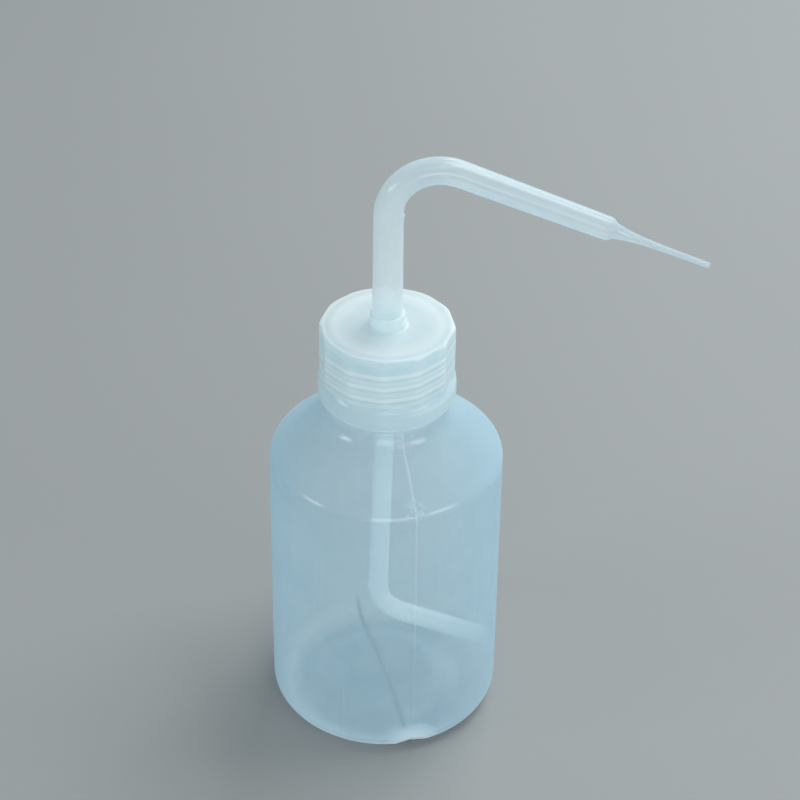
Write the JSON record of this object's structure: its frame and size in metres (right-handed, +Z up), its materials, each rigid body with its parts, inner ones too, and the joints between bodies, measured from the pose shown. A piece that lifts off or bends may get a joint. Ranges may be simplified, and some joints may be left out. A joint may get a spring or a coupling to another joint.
{
  "type": "wash bottle",
  "caption": "Squeezable laboratory wash bottle with a screw cap, a bent spout tube drawn to a fine tip and a bent dip tube.",
  "frame": {"origin": "centre of the base, on the surface the bottle stands on", "axes": "+Z up along the bottle's axis; +X the way the spout points at rest; +Y completes a right-handed frame"},
  "size_m": [0.1354, 0.075, 0.2061],
  "materials": {
    "bottle": "milky translucent, blown",
    "cap": "translucent natural white, moulded",
    "tube": "translucent natural white, extruded, clear where it is drawn thin",
    "dip": "translucent natural white, extruded"
  },
  "bodies": {
    "bottle": {"bottle_body": "bottle"},
    "dip": {"dip_tube": "dip"},
    "cap": {"screw_cap": "cap"},
    "spout": {"spout_tube": "tube"}
  },
  "joints": [
    {"name": "head_lift", "type": "slide", "parent": "bottle", "child": "dip", "axis": [0, 0, 1], "range_m": [0, 0.00847]},
    {"name": "cap_turn", "type": "hinge", "parent": "dip", "child": "cap", "pos_m": [0, 0, 0.13], "axis": [0, 0, 1], "range_deg": [0, 720]},
    {"name": "spout_swivel", "type": "hinge", "parent": "dip", "child": "spout", "pos_m": [0, 0, 0.146], "axis": [0, 0, 1], "continuous": true}
  ],
  "couplings": [
    {"joint": "cap_turn", "follows": "head_lift", "rad_per_m": 1484.2}
  ]
}
